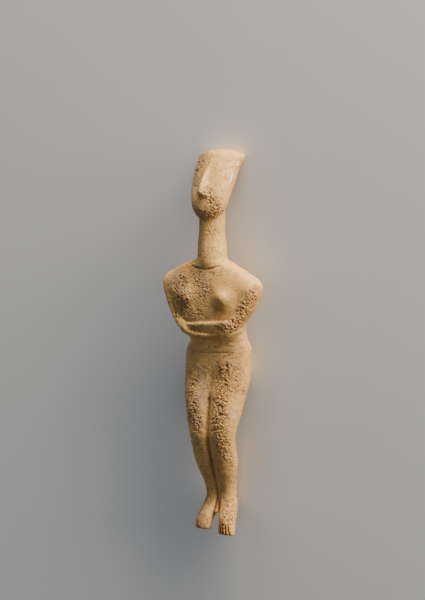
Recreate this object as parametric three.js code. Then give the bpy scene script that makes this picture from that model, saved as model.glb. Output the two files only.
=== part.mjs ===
// A Cycladic folded-arm figurine, carved in one piece of marble and lying on its back.
// Units are millimetres. X points to the figure's left side, Y from its toes to its crown, and Z up.
// Each form of the carving is a field, negative inside the marble, and the fields are blended into one.
// The surface is then read off that field in rings across the figure, from the crown down to the toes.
import * as THREE from "three";

// Driving dimensions
const LENGTH = 618; // from the toes to the crown
const LEFT_TOES = 0; // the left foot ends in its toes, and the right one in a worn stump
const RIGHT_TOES = 5;
const WEB_HEIGHT = 33; // the legs are joined above this height, and the feet are apart below it
const WEB = { halfWidth: 5, front: 8, back: 8, edge: 1.5 };
const SHOULDER_HEIGHT = 380; // the arms' creases fade out from here up
const CHIN_HEIGHT = 508;
const LEFT_ELBOW = 325;
const RIGHT_ELBOW = 327;
// The right shoulder is higher and the right hip lower, by a share of the distance across. Each tilt
// grows between its low and high heights, and the hips' tilt then ends.
const SHOULDER_TILT = { share: 0.025, low: 380, high: 410 };
const HIP_TILT = { share: 0.055, low: 275, high: 292, fading: 310, end: 326 };
// The chest is wider and fuller on its right side, between its low and high heights.
const RIGHT_CHEST = { wider: 8, fuller: 2, low: 335, full: 352, fading: 392, high: 414 };
const CORE_HEIGHT = 38; // the body's core above the ground, where the forearms begin
const FOREARM_LEAN = 0.2; // how much the upper forearm's upper edge stands out over its lower one
const RING_POINTS = 44; // points around the figure
const WEB_POINTS = 3; // points across the web, where the ring divides between the feet
const GROUND_TOUCH = 0.02; // a point this close to the ground lies on it
const SURVEY_STEPS = 120; // steps along half a ring, to measure it
const AT_AXIS = 0.02; // the share of a section that counts as its axis
const FARTHEST = 120; // beyond the marble in every direction across the figure
const SEARCH_STEP = 4;
const HALVINGS = 18;
const HIGHEST = 90; // above the marble
const SCAN_STEP = 0.5;
const FRONT_WEIGHT = 1.4; // how much closer the points lie on the front than on the back

// How square the sections are: 2 is an ellipse.
const POWER = { head: 2.3, neck: 2, arm: 2.8, leg: 2 };
// How widely one form runs into the next: its edges, and its joint with the rest.
const BLEND = {
  crownEdge: 5,
  keel: 2.5,
  chin: 5,
  nose: 3,
  head: 3,
  neck: 5,
  shoulderTop: 8,
  breastTip: 6,
  breast: 9,
  leastCrease: 3,
  mostCrease: 14,
  creaseGrowth: 0.4,
  forearmEdge: 6,
  lowerForearm: 7,
  upperForearm: 3,
  leftToes: 3,
  rightToes: 4,
  web: 3,
  buttock: 8,
  hipEdge: 14,
  hip: 9,
};

// Forms that run along the figure, as stations: the height above the toes, the half width,
// the height of the axis above the ground, the reach from that axis to the front and to the back,
// and, for the trunk, how square the section is.
const HEAD = [
  [500, 9, 48, 6, 10],
  [508, 13, 49.5, 9, 14],
  [515, 20, 50, 13, 17],
  [524, 26.5, 49.5, 16.5, 19],
  [536, 31, 47, 19, 20],
  [556, 35, 40.7, 22, 22],
  [575, 36.8, 31.5, 25.5, 22],
  [592, 38, 20.5, 29.5, 16.5],
  [607, 39.5, 9, 32, 10.5],
  [624, 40.5, -4, 34, 3],
];
const NECK = [
  [425, 24, 38.5, 16, 18],
  [441, 24.5, 38.6, 21, 21],
  [465, 23.8, 38.8, 21, 20.5],
  [490, 21.6, 38.5, 20, 19.5],
  [535, 21.2, 39, 18, 19],
  [562, 18, 41, 14, 16],
];
const TRUNK = [
  [225, 46, 36, 18, 20, 2.3],
  [250, 55, 32, 18, 24, 2.3],
  [271, 57, 30.5, 20, 26, 2.3],
  [297, 60.5, 30, 20.5, 22, 2.4],
  [315, 53.5, 30.5, 21, 18.5, 2.6],
  [333, 54, 34, 25, 20, 3],
  [352, 56, 37.5, 24, 23.5, 4],
  [376, 63, 38.5, 24, 25, 4.4],
  [394, 68, 38.5, 23.5, 25, 4.4],
  [408, 72, 38.5, 22, 23, 3.6],
  [420, 67, 38.3, 20.5, 19.5, 2.8],
  [430, 56, 38.3, 19.5, 17, 2.4],
  [438, 40, 38.4, 19, 17, 2.2],
  [446, 28, 38.6, 18, 18, 2],
];
// The same for one leg and for one upper arm, and then how far their axes lie from the middle.
const LEG = [
  [0, 15, 39, 7, 6, 22.8],
  [8, 15, 38, 9.5, 9.5, 22.6],
  [19, 14.4, 35.5, 12, 12, 22],
  [32, 13.3, 30, 13, 16, 20.3],
  [47, 12.8, 22.5, 12, 15, 17.4],
  [61, 13, 20, 11.5, 12, 14.2],
  [82, 14.6, 24.3, 11.8, 13, 15.2],
  [100, 17, 30, 13.8, 15, 17.4],
  [119, 19.4, 34.2, 15.8, 17, 19.6],
  [144, 20.2, 40.2, 17.3, 16, 20],
  [168, 22, 44.5, 17.6, 16, 21.2],
  [216, 27.6, 38.2, 22, 22, 26.2],
  [250, 30, 34, 19, 28, 28],
  [290, 30, 32, 14, 24, 28.5],
];
const ARM = [
  [317, 6, 50, 10, 12, 38],
  [324, 9.5, 50, 12.5, 16, 38.5],
  [331, 11.3, 50, 13.5, 18, 39],
  [342, 13.6, 49.5, 14, 19, 46.6],
  [355, 14.8, 46, 15, 18, 55.3],
  [368, 15.3, 42.5, 16.5, 17, 63.5],
  [381, 16.5, 40, 18, 16, 68],
  [394, 17.5, 38.8, 18.5, 16, 72.3],
  [405, 18, 38.5, 18, 16, 73],
  [413, 17.5, 38.2, 16, 15, 70.5],
  [419.5, 16, 37.8, 14, 13.5, 66],
  [424, 14, 37.8, 12, 12, 58],
  [430, 12, 38, 11, 11, 48],
  [437, 12, 38, 10, 10, 33],
];
// How far the middle of the body lies to the figure's left of a straight line, by height.
const SWAY = [
  [20, 0],
  [55, 1],
  [150, 1],
  [230, 2],
  [298, 4.5],
  [314, 6.5],
  [328, 3.5],
  [345, 1.5],
  [390, 0],
  [500, 0.5],
  [560, 1.5],
  [620, 2.8],
];

// The forearms, laid across the front: the place across, the middle and half of their height,
// and the height of their front above the ground. The left forearm is the upper one.
const UPPER_FOREARM = [
  [-56, 337, 5, 48],
  [-42, 337.5, 6.5, 60.5],
  [-20, 337.8, 7.7, 63.5],
  [10, 338.5, 9.5, 65],
  [35, 339.5, 11.5, 64.5],
  [48, 339.5, 11.5, 62],
  [58, 340, 8, 48],
];
const LOWER_FOREARM = [
  [-56, 338, 3.5, 48],
  [-46, 334.5, 7, 59],
  [-30, 327.5, 6.5, 62.5],
  [0, 326.3, 5.3, 64],
  [30, 328.5, 4, 62],
  [42, 331.5, 4, 57],
];
// Round forms: their place across, along and above the ground, and their radius.
const BREASTS = [
  [-38, 385, 45, 20],
  [34, 386, 48.5, 20],
];
const BREAST_TIPS = [
  [-38, 386, 56.5, 9],
  [34.5, 388.5, 61, 9],
];
const BUTTOCK = [27, 266, 22.4, 25];
const NOSE = [
  [-1.5, 591, 47.5, 2.5],
  [-1.5, 570, 60, 5],
  [-2, 554, 66.5, 6.5],
];
// The right half of the face turns away, from a line down its middle, and less so at the chin.
const KEEL = { across: -1, slope: 0.4, low: 530, high: 560, chinSpare: 8 };
const CROWN = { height: LENGTH, ground: 14, sideRadius: 92, depthRadius: 62 };

// Ring spacing by height: rings lie this far apart from this height up, closer where there is carving.
const SPACING = [
  [0, 3],
  [WEB_HEIGHT, 5.4],
  [66, 11],
  [246, 6.4],
  [310, 3.3],
  [354, 6],
  [402, 4.4],
  [446, 10],
  [500, 4],
  [540, 6],
  [604, 3],
];

const clamp = (value, low, high) => Math.min(high, Math.max(low, value));
const rise = (value, low, high) => clamp((value - low) / (high - low), 0, 1);

// The smaller of two fields, rounded over the reach where they meet, and the larger one.
function softMin(a, b, reach) {
  const near = Math.max(reach - Math.abs(a - b), 0) / reach;
  return Math.min(a, b) - (near * near * reach) / 4;
}
const softMax = (a, b, reach) => -softMin(-a, -b, reach);

// A smooth curve through the stations of a form: the values of a row at any height.
function through(rows) {
  const slope = (i, k) => {
    const before = rows[Math.max(i - 1, 0)];
    const after = rows[Math.min(i + 1, rows.length - 1)];
    return (after[k] - before[k]) / (after[0] - before[0]);
  };
  return (height) => {
    const at = clamp(height, rows[0][0], rows.at(-1)[0]);
    const i = clamp(rows.findIndex((row) => row[0] >= at) - 1, 0, rows.length - 2);
    const [from, to] = [rows[i], rows[i + 1]];
    const span = to[0] - from[0];
    const t = (at - from[0]) / span;
    return from.slice(1).map((value, n) => {
      const k = n + 1;
      return (
        value * (1 + 2 * t) * (1 - t) ** 2 +
        to[k] * (3 - 2 * t) * t * t +
        span * (slope(i, k) * t * (1 - t) ** 2 - slope(i + 1, k) * (1 - t) * t * t)
      );
    });
  };
}

// The field of an oval section about its axis, with its own reach to the front and to the back.
function oval(x, z, halfWidth, front, back, power) {
  const depth = z > 0 ? front : back;
  const size = Math.hypot(x, z);
  const share = ((Math.abs(x) / halfWidth) ** power + (Math.abs(z) / depth) ** power) ** (1 / power);
  return share < AT_AXIS ? -Math.min(halfWidth, depth) : size * (1 - 1 / share);
}

// The field of round bars from point to point.
function bars(points, x, height, z) {
  let nearest = Infinity;
  for (let i = 0; i < points.length - 1; i++) {
    const [ax, ah, az, ar] = points[i];
    const [bx, bh, bz, br] = points[i + 1];
    const [dx, dh, dz] = [bx - ax, bh - ah, bz - az];
    const along = ((x - ax) * dx + (height - ah) * dh + (z - az) * dz) / (dx * dx + dh * dh + dz * dz);
    const t = clamp(along, 0, 1);
    const away = Math.hypot(x - ax - t * dx, height - ah - t * dh, z - az - t * dz);
    nearest = Math.min(nearest, away - (ar + t * (br - ar)));
  }
  return nearest;
}

// The field of a flat band across the front, between its ends.
function slab([middle, half, front], rows, x, height, z, lean) {
  const face = z - front - lean * (height - middle);
  const edges = softMax(Math.abs(height - middle) - half, face, BLEND.forearmEdge);
  return Math.max(edges, rows[0][0] - x, x - rows.at(-1)[0], CORE_HEIGHT - z);
}

const ball = ([bx, bh, bz, radius], x, height, z) =>
  Math.hypot(x - bx, height - bh, z - bz) - radius;

const head = through(HEAD);
const neck = through(NECK);
const trunk = through(TRUNK);
const leg = through(LEG);
const arm = through(ARM);
const upperForearm = through(UPPER_FOREARM);
const lowerForearm = through(LOWER_FOREARM);
const sway = through(SWAY);

// The field of the trunk, arms and forearms. The shoulders and the hips each tilt across the figure.
function bustField(x, straight, z, shift) {
  const shoulders = rise(straight, SHOULDER_TILT.low, SHOULDER_TILT.high);
  const hips =
    rise(straight, HIP_TILT.low, HIP_TILT.high) * rise(straight, HIP_TILT.end, HIP_TILT.fading);
  const height = straight + (SHOULDER_TILT.share * shoulders - HIP_TILT.share * hips) * x;
  const [half, axis, front, back, power] = trunk(height);
  const [armHalf, armAxis, armFront, armBack, armApart] = arm(height);
  const chest =
    rise(height, RIGHT_CHEST.low, RIGHT_CHEST.full) * rise(height, RIGHT_CHEST.high, RIGHT_CHEST.fading);
  const right = chest * rise(shift - x, 0, half);
  const wide = half + RIGHT_CHEST.wider * right;
  const full = front + RIGHT_CHEST.fuller * right;
  const ribs = softMax(
    oval(x - shift, z - axis, wide, full, back, power),
    height - TRUNK.at(-1)[0],
    BLEND.shoulderTop,
  );
  const elbow = x > 0 ? LEFT_ELBOW : RIGHT_ELBOW;
  const upperArms = softMax(
    oval(Math.abs(x) - armApart, z - armAxis, armHalf, armFront, armBack, POWER.arm),
    Math.max(elbow - height, height - ARM.at(-1)[0]),
    BLEND.shoulderTop,
  );
  const nearest = (balls) => Math.min(...balls.map((each) => ball(each, x, height, z)));
  const breasts = softMin(nearest(BREASTS), nearest(BREAST_TIPS), BLEND.breastTip);
  const fading = BLEND.creaseGrowth * (height - SHOULDER_HEIGHT);
  const crease = clamp(fading, BLEND.leastCrease, BLEND.mostCrease);
  const torso = softMin(softMin(ribs, breasts, BLEND.breast), upperArms, crease);
  const lower = slab(lowerForearm(x), LOWER_FOREARM, x, height, z, 0);
  const upper = slab(upperForearm(x), UPPER_FOREARM, x, height, z, FOREARM_LEAN);
  return softMin(softMin(torso, lower, BLEND.lowerForearm), upper, BLEND.upperForearm);
}

// The field of the whole figure across one height.
function section(height) {
  const [headHalf, headAxis, headFront, headBack] = head(height);
  const [neckHalf, neckAxis, neckFront, neckBack] = neck(height);
  const [legHalf, legAxis, legFront, legBack, legApart] = leg(height);
  const [shift] = sway(height);

  const headField = (x, z) => {
    const dome =
      height -
      CROWN.height +
      (x - shift) ** 2 / (2 * CROWN.sideRadius) +
      (z - CROWN.ground) ** 2 / (2 * CROWN.depthRadius);
    const face = oval(x - shift, z - headAxis, headHalf, headFront, headBack, POWER.head);
    const spare = KEEL.chinSpare * (1 - rise(height, KEEL.low, KEEL.high));
    const turned = z - headAxis - headFront - spare + KEEL.slope * (KEEL.across - x + shift);
    const rounded = softMax(face, dome, BLEND.crownEdge);
    const shield = softMax(rounded, turned / Math.hypot(1, KEEL.slope), BLEND.keel);
    const mass = softMax(shield, CHIN_HEIGHT - height, BLEND.chin);
    return softMin(mass, bars(NOSE, x - shift, height, z), BLEND.nose);
  };
  const neckField = (x, z) =>
    Math.max(
      oval(x, z - neckAxis, neckHalf, neckFront, neckBack, POWER.neck),
      NECK[0][0] - height,
      height - NECK.at(-1)[0],
    );
  const legsField = (x, z) => {
    const side = Math.abs(x - shift);
    const web = Math.max(
      oval(x - shift, z - legAxis, WEB.halfWidth, WEB.front, WEB.back, POWER.leg),
      WEB_HEIGHT - WEB.edge - height,
    );
    const limb = oval(side - legApart, z - legAxis, legHalf, legFront, legBack, POWER.leg);
    const tip =
      x > 0
        ? softMax(limb, LEFT_TOES - height, BLEND.leftToes)
        : softMax(limb, RIGHT_TOES - height, BLEND.rightToes);
    const limbs = softMin(tip, web, BLEND.web);
    return softMin(limbs, ball(BUTTOCK, side, height, z), BLEND.buttock);
  };
  return (x, z) => {
    const bust = bustField(x, height, z, shift);
    const upper = softMin(headField(x, z), softMin(neckField(x, z), bust, BLEND.neck), BLEND.head);
    const trunkAndLegs = softMin(
      softMax(upper, TRUNK[0][0] - height, BLEND.hipEdge),
      softMax(legsField(x, z), height - LEG.at(-1)[0], BLEND.hipEdge),
      BLEND.hip,
    );
    return Math.max(trunkAndLegs, -z);
  };
}

// The distance from a middle point to the surface, in one direction across the figure.
function reachOf(field, [x, z], angle) {
  const [cos, sin] = [Math.cos(angle), Math.sin(angle)];
  let outside = FARTHEST;
  let inside = outside;
  while (inside > 0 && field(x + inside * cos, z + inside * sin) > 0) {
    outside = inside;
    inside -= SEARCH_STEP;
  }
  inside = Math.max(inside, 0);
  for (let i = 0; i < HALVINGS; i++) {
    const middle = (inside + outside) / 2;
    if (field(x + middle * cos, z + middle * sin) > 0) outside = middle;
    else inside = middle;
  }
  return inside;
}

// The middle of the marble above one line along the ground.
function middleOf(field, x) {
  const inside = [];
  for (let z = 0; z < HIGHEST; z += SCAN_STEP) if (field(x, z) < 0) inside.push(z);
  return [x, (inside[0] + inside.at(-1)) / 2];
}

// The point of the surface in that direction. What lies on the ground lies exactly on it.
function pointAt(field, middle, angle, height) {
  const reach = reachOf(field, middle, angle);
  const z = middle[1] + reach * Math.sin(angle);
  return [middle[0] + reach * Math.cos(angle), height - LENGTH / 2, z < GROUND_TOUCH ? 0 : z];
}

// The directions that space a ring's points evenly along the surface, closer on the carved front.
function directionsAt(height) {
  const field = section(height);
  const middle = middleOf(field, sway(height)[0]);
  return [1, -1].flatMap((start) => {
    const angles = Array.from({ length: SURVEY_STEPS + 1 }, (_, i) => {
      return (start * Math.PI) / 2 - (i / SURVEY_STEPS) * Math.PI;
    });
    const points = angles.map((angle) => pointAt(field, middle, angle, height));
    const lengths = [0];
    for (let i = 1; i < points.length; i++) {
      const [from, to] = [points[i - 1], points[i]];
      const weight = to[2] > middle[1] ? FRONT_WEIGHT : 1;
      lengths.push(lengths.at(-1) + weight * Math.hypot(to[0] - from[0], to[2] - from[2]));
    }
    return Array.from({ length: RING_POINTS / 2 }, (_, i) => {
      const target = (lengths.at(-1) * i) / (RING_POINTS / 2);
      const k = lengths.findIndex((length) => length > target) - 1;
      const share = (target - lengths[k]) / (lengths[k + 1] - lengths[k]);
      return angles[k] + share * (angles[k + 1] - angles[k]);
    });
  });
}

// A ring's points, in directions averaged with the rings around it, so that the rings match.
function ringAt(directions, index, height) {
  const near = directions.slice(Math.max(index - 2, 0), index + 3);
  const field = section(height);
  const middle = middleOf(field, sway(height)[0]);
  return directions[index].map((_, k) => {
    const angle = near.reduce((sum, angles) => sum + angles[k], 0) / near.length;
    return pointAt(field, middle, angle, height);
  });
}

const heights = [];
for (let height = 0; height < LENGTH - 0.5; ) {
  heights.push(height);
  const step = SPACING.findLast((row) => row[0] <= height + 0.01)[1];
  const next = SPACING.find((row) => row[0] > height + 0.01)?.[0] ?? LENGTH;
  height += (next - height) / Math.max(1, Math.round((next - height) / step));
}

const positions = [];
const faces = [];
const place = (point) => positions.push(point) - 1;
const apart = (a, b) => Math.hypot(...positions[a].map((value, k) => value - positions[b][k]));

// Joins two rings of as many points with triangles, each square cut along its shorter diagonal.
function join(above, below) {
  above.forEach((a, i) => {
    const j = (i + 1) % above.length;
    const [b, c, d] = [above[j], below[j], below[i]];
    if (apart(a, c) < apart(b, d)) faces.push([a, c, b], [a, d, c]);
    else faces.push([a, d, b], [b, d, c]);
  });
}
const close = (ring, tip) => ring.forEach((a, i) => faces.push([a, tip, ring[(i + 1) % ring.length]]));

// The body, from the web up to the crown
const bodyHeights = heights.filter((height) => height >= WEB_HEIGHT);
const directions = bodyHeights.map(directionsAt);
const bodyRings = bodyHeights.map((height, i) => ringAt(directions, i, height).map(place));
for (let i = 0; i < bodyRings.length - 1; i++) join(bodyRings[i + 1], bodyRings[i]);
close(bodyRings.at(-1).toReversed(), place([0, LENGTH / 2, CROWN.ground]));

// The feet: the lowest ring divides along the web, and each half goes on down to the toes.
const half = RING_POINTS / 2;
const lowest = bodyRings[0];
const [frontPoint, backPoint] = [positions[lowest[0]], positions[lowest[half]]];
const web = Array.from({ length: WEB_POINTS }, (_, i) => {
  const share = (i + 1) / (WEB_POINTS + 1);
  return place(frontPoint.map((value, k) => value + share * (backPoint[k] - value)));
});
const leftTop = [...lowest.slice(0, half + 1), ...web.toReversed()];
const rightTop = [...lowest.slice(half), lowest[0], ...web];
for (const [side, top, toes] of [[1, leftTop, LEFT_TOES], [-1, rightTop, RIGHT_TOES]]) {
  const footAt = (height) => {
    const whole = section(height);
    const field = (x, z) => (x * side > 0 ? whole(x, z) : 1);
    return [field, middleOf(field, side * leg(height)[4])];
  };
  const [, [topX, topZ]] = footAt(WEB_HEIGHT);
  const angles = top.map((i) => Math.atan2(positions[i][2] - topZ, positions[i][0] - topX));
  let above = top;
  for (const height of heights.filter((h) => h < WEB_HEIGHT && h > toes + 1).toReversed()) {
    const [field, middle] = footAt(height);
    const ring = angles.map((angle) => place(pointAt(field, middle, angle, height)));
    join(above, ring);
    above = ring;
  }
  const [, [tipX, tipZ]] = footAt(toes + 0.3);
  close(above, place([tipX, toes - LENGTH / 2, tipZ]));
}

const geometry = new THREE.BufferGeometry();
geometry.setAttribute("position", new THREE.Float32BufferAttribute(positions.flat(), 3));
geometry.setIndex(faces.flat());
geometry.computeVertexNormals();

const marble = new THREE.MeshStandardMaterial({ color: 0xcbb08a, roughness: 0.75, metalness: 0 });
const figurine = new THREE.Mesh(geometry, marble);
figurine.name = "figurine";

const part = new THREE.Group();
part.add(figurine);
export default part;
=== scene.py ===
# A Cycladic folded-arm figurine in weathered marble, lying on its back on a pale floor.
import itertools
import math

import bpy
import numpy as np
from mathutils import Matrix, Vector


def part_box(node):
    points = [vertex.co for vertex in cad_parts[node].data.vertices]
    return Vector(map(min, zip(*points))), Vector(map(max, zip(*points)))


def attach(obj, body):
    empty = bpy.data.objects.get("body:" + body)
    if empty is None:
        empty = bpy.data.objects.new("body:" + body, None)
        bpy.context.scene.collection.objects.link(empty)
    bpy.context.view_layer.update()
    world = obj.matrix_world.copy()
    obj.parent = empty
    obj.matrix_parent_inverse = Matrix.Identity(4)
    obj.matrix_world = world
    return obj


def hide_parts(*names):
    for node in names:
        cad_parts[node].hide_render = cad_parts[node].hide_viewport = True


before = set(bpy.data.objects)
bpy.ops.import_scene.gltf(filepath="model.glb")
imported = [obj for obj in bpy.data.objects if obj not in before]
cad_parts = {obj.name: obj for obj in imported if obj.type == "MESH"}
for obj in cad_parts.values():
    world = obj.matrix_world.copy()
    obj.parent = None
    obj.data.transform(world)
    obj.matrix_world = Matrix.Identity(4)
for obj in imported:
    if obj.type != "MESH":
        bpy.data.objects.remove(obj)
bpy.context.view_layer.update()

MM = 0.001  # the tables below are in millimetres

# Places on the figure are x to its left side, the height above its toes, and z above the ground.
NODE_LOW, NODE_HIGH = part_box("figurine")
LENGTH = (NODE_HIGH[1] - NODE_LOW[1]) / MM
LEFT_TOES = 0
RIGHT_TOES = 5
WEB_HEIGHT = 33  # the legs are joined above this height, and the feet are apart below it
WEB = {"half_width": 5, "front": 8, "back": 8}
CORE_HEIGHT = 38  # the body's core above the ground, where the forearms begin
SHOULDER_HEIGHT = 380  # the arms' creases fade out from here up
CROWN = {"ground": 14, "side_radius": 92, "depth_radius": 62}

# Forms that run along the figure, as stations: the height above the toes, the half width,
# the height of the axis above the ground, the reach from that axis to the front and to the back,
# and, for the trunk, how square the section is.
HEAD = [
    [500, 9, 48, 6, 10],
    [508, 13, 49.5, 9, 14],
    [515, 20, 50, 13, 17],
    [524, 26.5, 49.5, 16.5, 19],
    [536, 31, 47, 19, 20],
    [556, 35, 40.7, 22, 22],
    [575, 36.8, 31.5, 25.5, 22],
    [592, 38, 20.5, 29.5, 16.5],
    [607, 39.5, 9, 32, 10.5],
    [624, 40.5, -4, 34, 3],
]
NECK = [
    [425, 24, 38.5, 16, 18],
    [441, 24.5, 38.6, 21, 21],
    [465, 23.8, 38.8, 21, 20.5],
    [490, 21.6, 38.5, 20, 19.5],
    [535, 21.2, 39, 18, 19],
    [562, 18, 41, 14, 16],
]
TRUNK = [
    [225, 46, 36, 18, 20, 2.3],
    [250, 55, 32, 18, 24, 2.3],
    [271, 57, 30.5, 20, 26, 2.3],
    [297, 60.5, 30, 20.5, 22, 2.4],
    [315, 53.5, 30.5, 21, 18.5, 2.6],
    [333, 54, 34, 25, 20, 3],
    [352, 56, 37.5, 24, 23.5, 4],
    [376, 63, 38.5, 24, 25, 4.4],
    [394, 68, 38.5, 23.5, 25, 4.4],
    [408, 72, 38.5, 22, 23, 3.6],
    [420, 67, 38.3, 20.5, 19.5, 2.8],
    [430, 56, 38.3, 19.5, 17, 2.4],
    [438, 40, 38.4, 19, 17, 2.2],
    [446, 28, 38.6, 18, 18, 2],
]
# The same for one leg and for one upper arm, and then how far their axes lie from the middle.
LEG = [
    [0, 15, 39, 7, 6, 22.8],
    [8, 15, 38, 9.5, 9.5, 22.6],
    [19, 14.4, 35.5, 12, 12, 22],
    [32, 13.3, 30, 13, 16, 20.3],
    [47, 12.8, 22.5, 12, 15, 17.4],
    [61, 13, 20, 11.5, 12, 14.2],
    [82, 14.6, 24.3, 11.8, 13, 15.2],
    [100, 17, 30, 13.8, 15, 17.4],
    [119, 19.4, 34.2, 15.8, 17, 19.6],
    [144, 20.2, 40.2, 17.3, 16, 20],
    [168, 22, 44.5, 17.6, 16, 21.2],
    [216, 27.6, 38.2, 22, 22, 26.2],
    [250, 30, 34, 19, 28, 28],
    [290, 30, 32, 14, 24, 28.5],
]
ARM = [
    [317, 6, 50, 10, 12, 38],
    [324, 9.5, 50, 12.5, 16, 38.5],
    [331, 11.3, 50, 13.5, 18, 39],
    [342, 13.6, 49.5, 14, 19, 46.6],
    [355, 14.8, 46, 15, 18, 55.3],
    [368, 15.3, 42.5, 16.5, 17, 63.5],
    [381, 16.5, 40, 18, 16, 68],
    [394, 17.5, 38.8, 18.5, 16, 72.3],
    [405, 18, 38.5, 18, 16, 73],
    [413, 17.5, 38.2, 16, 15, 70.5],
    [419.5, 16, 37.8, 14, 13.5, 66],
    [424, 14, 37.8, 12, 12, 58],
    [430, 12, 38, 11, 11, 48],
    [437, 12, 38, 10, 10, 33],
]
# How far the middle of the body lies to the figure's left of a straight line, by height.
SWAY = [
    [20, 0],
    [55, 1],
    [150, 1],
    [230, 2],
    [298, 4.5],
    [314, 6.5],
    [328, 3.5],
    [345, 1.5],
    [390, 0],
    [500, 0.5],
    [560, 1.5],
    [620, 2.8],
]
# The forearms, laid across the front: the place across, the middle and half of their height,
# and the height of their front above the ground. The left forearm is the upper one.
UPPER_FOREARM = [
    [-56, 337, 5, 48],
    [-42, 337.5, 6.5, 60.5],
    [-20, 337.8, 7.7, 63.5],
    [10, 338.5, 9.5, 65],
    [35, 339.5, 11.5, 64.5],
    [48, 339.5, 11.5, 62],
    [58, 340, 8, 48],
]
LOWER_FOREARM = [
    [-56, 338, 3.5, 48],
    [-46, 334.5, 7, 59],
    [-30, 327.5, 6.5, 62.5],
    [0, 326.3, 5.3, 64],
    [30, 328.5, 4, 62],
    [42, 331.5, 4, 57],
]
FOREARM_LEAN = 0.2  # how much the upper forearm's upper edge stands out over its lower one
# Round forms: their place across, along and above the ground, and their radius.
BREASTS = [
    [-38, 385, 45, 20],
    [34, 386, 48.5, 20],
]
BREAST_TIPS = [
    [-38, 386, 56.5, 9],
    [34.5, 388.5, 61, 9],
]
BUTTOCK = [27, 266, 22.4, 25]
CHIN_HEIGHT = 508
# The nose is a wedge: its ridge from the brow to the tip, as place across, height and z.
NOSE_BROW = [-1.5, 592, 50]
NOSE_TIP = [-2, 553, 73.5]
NOSE_SWELL = 1.5  # how soon the ridge rises from the brow
NOSE_HALF_WIDTH = 9
NOSE_DEPTH = 13
NOSE_UNDERCUT = 0.7
NOSE_BLUNTNESS = 2
NOSE_BLUNT_SPARE = 1.6  # what keeps the blunt ridge nearly as high as a sharp one
# The right half of the face turns away, from a line down its middle, and less so at the chin.
KEEL = {"across": -1, "slope": 0.4, "low": 530, "high": 560, "chin_spare": 8}
# The right shoulder is higher and the right hip lower, by these shares of the distance across. Each
# tilt grows between its low and high heights, and the hips' tilt then ends.
SHOULDER_TILT = {"share": 0.025, "low": 380, "high": 410}
HIP_TILT = {"share": 0.055, "low": 275, "high": 292, "fading": 310, "end": 326}
# The chest is wider and fuller on its right side, between its low and high heights.
RIGHT_CHEST = {"wider": 8, "fuller": 2, "low": 335, "full": 352, "fading": 392, "high": 414}
LEFT_ELBOW = 325
RIGHT_ELBOW = 327
# The inner sides of the legs are squarer, so that the cleft between them is a narrow line. It grows
# from the first of two heights to the second: down the thigh, down the shin and up from the foot.
THIGH_SQUARER = (255, 205)
SHIN_SQUARER = (190, 120)
FOOT_SQUARER = (20, 45)
SHIN_SQUARENESS = 1.5  # what the shin adds to the 1 of the thigh
# How square the sections are: 2 is an ellipse, and more is squarer.
POWER = {"head": 2.4, "neck": 2, "arm": 2.8, "leg": 2, "web": 2}
AXIS_SHARE = 0.02  # nearer its axis than this share of a section, its field stays as deep as it gets
# How widely one form runs into the next: its edges, and its joint with the rest.
BLEND = {
    "crown_edge": 4,
    "keel": 2.5,
    "chin": 5,
    "nose_edge": 2,
    "nose_left": 5,
    "nose_right": 1.5,
    "head": 2.5,
    "neck": 5,
    "shoulder_top": 8,
    "arm_end": 8,
    "breast_tip": 6,
    "breast": 9,
    "least_crease": 2,
    "most_crease": 14,
    "crease_rise": 2.5,  # the height over which the arms' crease widens by one
    "lower_edge": 7,
    "lower_forearm": 6,
    "upper_edge": 6,
    "upper_forearm": 2,
    "left_toes": 3,
    "right_toes": 4,
    "web_end": 3,
    "web": 3,
    "buttock": 8,
    "hip_edge": 14,
    "hip": 9,
}


def smooth_min(a, b, reach):
    """The smaller of two fields, rounded over the reach where they meet."""
    near = np.maximum(reach - np.abs(a - b), 0) / reach
    return np.minimum(a, b) - near * near * reach / 4


def smooth_max(a, b, reach):
    return -smooth_min(-a, -b, reach)


def ramp(value, low, high):
    return np.clip((value - low) / (high - low), 0, 1)


def through(rows):
    """A smooth curve through stations: the rows' values at any height."""
    at, values = np.array(rows, float)[:, 0], np.array(rows, float)[:, 1:].T
    slopes = np.zeros_like(values)
    slopes[:, 1:-1] = (values[:, 2:] - values[:, :-2]) / (at[2:] - at[:-2])
    slopes[:, 0] = (values[:, 1] - values[:, 0]) / (at[1] - at[0])
    slopes[:, -1] = (values[:, -1] - values[:, -2]) / (at[-1] - at[-2])

    def curve(height):
        height = np.clip(height, at[0], at[-1])
        i = np.clip(np.searchsorted(at, height) - 1, 0, len(at) - 2)
        span = at[i + 1] - at[i]
        t = (height - at[i]) / span
        rise = (1 + 2 * t) * (1 - t) ** 2, (3 - 2 * t) * t * t
        lean = span * t * (1 - t) ** 2, span * (1 - t) * t * t
        return [
            v[i] * rise[0] + v[i + 1] * rise[1] + s[i] * lean[0] - s[i + 1] * lean[1]
            for v, s in zip(values, slopes)
        ]

    return curve


def oval(x, z, half_width, front, back, power):
    """The field of an oval section about its axis, with its own reach to the front and to the back."""
    depth = np.where(z > 0, front, back)
    share = ((np.abs(x) / half_width) ** power + (np.abs(z) / depth) ** power) ** (1 / power)
    deep = -np.minimum(half_width, depth)
    field = np.hypot(x, z) * (1 - 1 / np.maximum(share, AXIS_SHARE))
    return np.where(share < AXIS_SHARE, deep, field)


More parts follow.
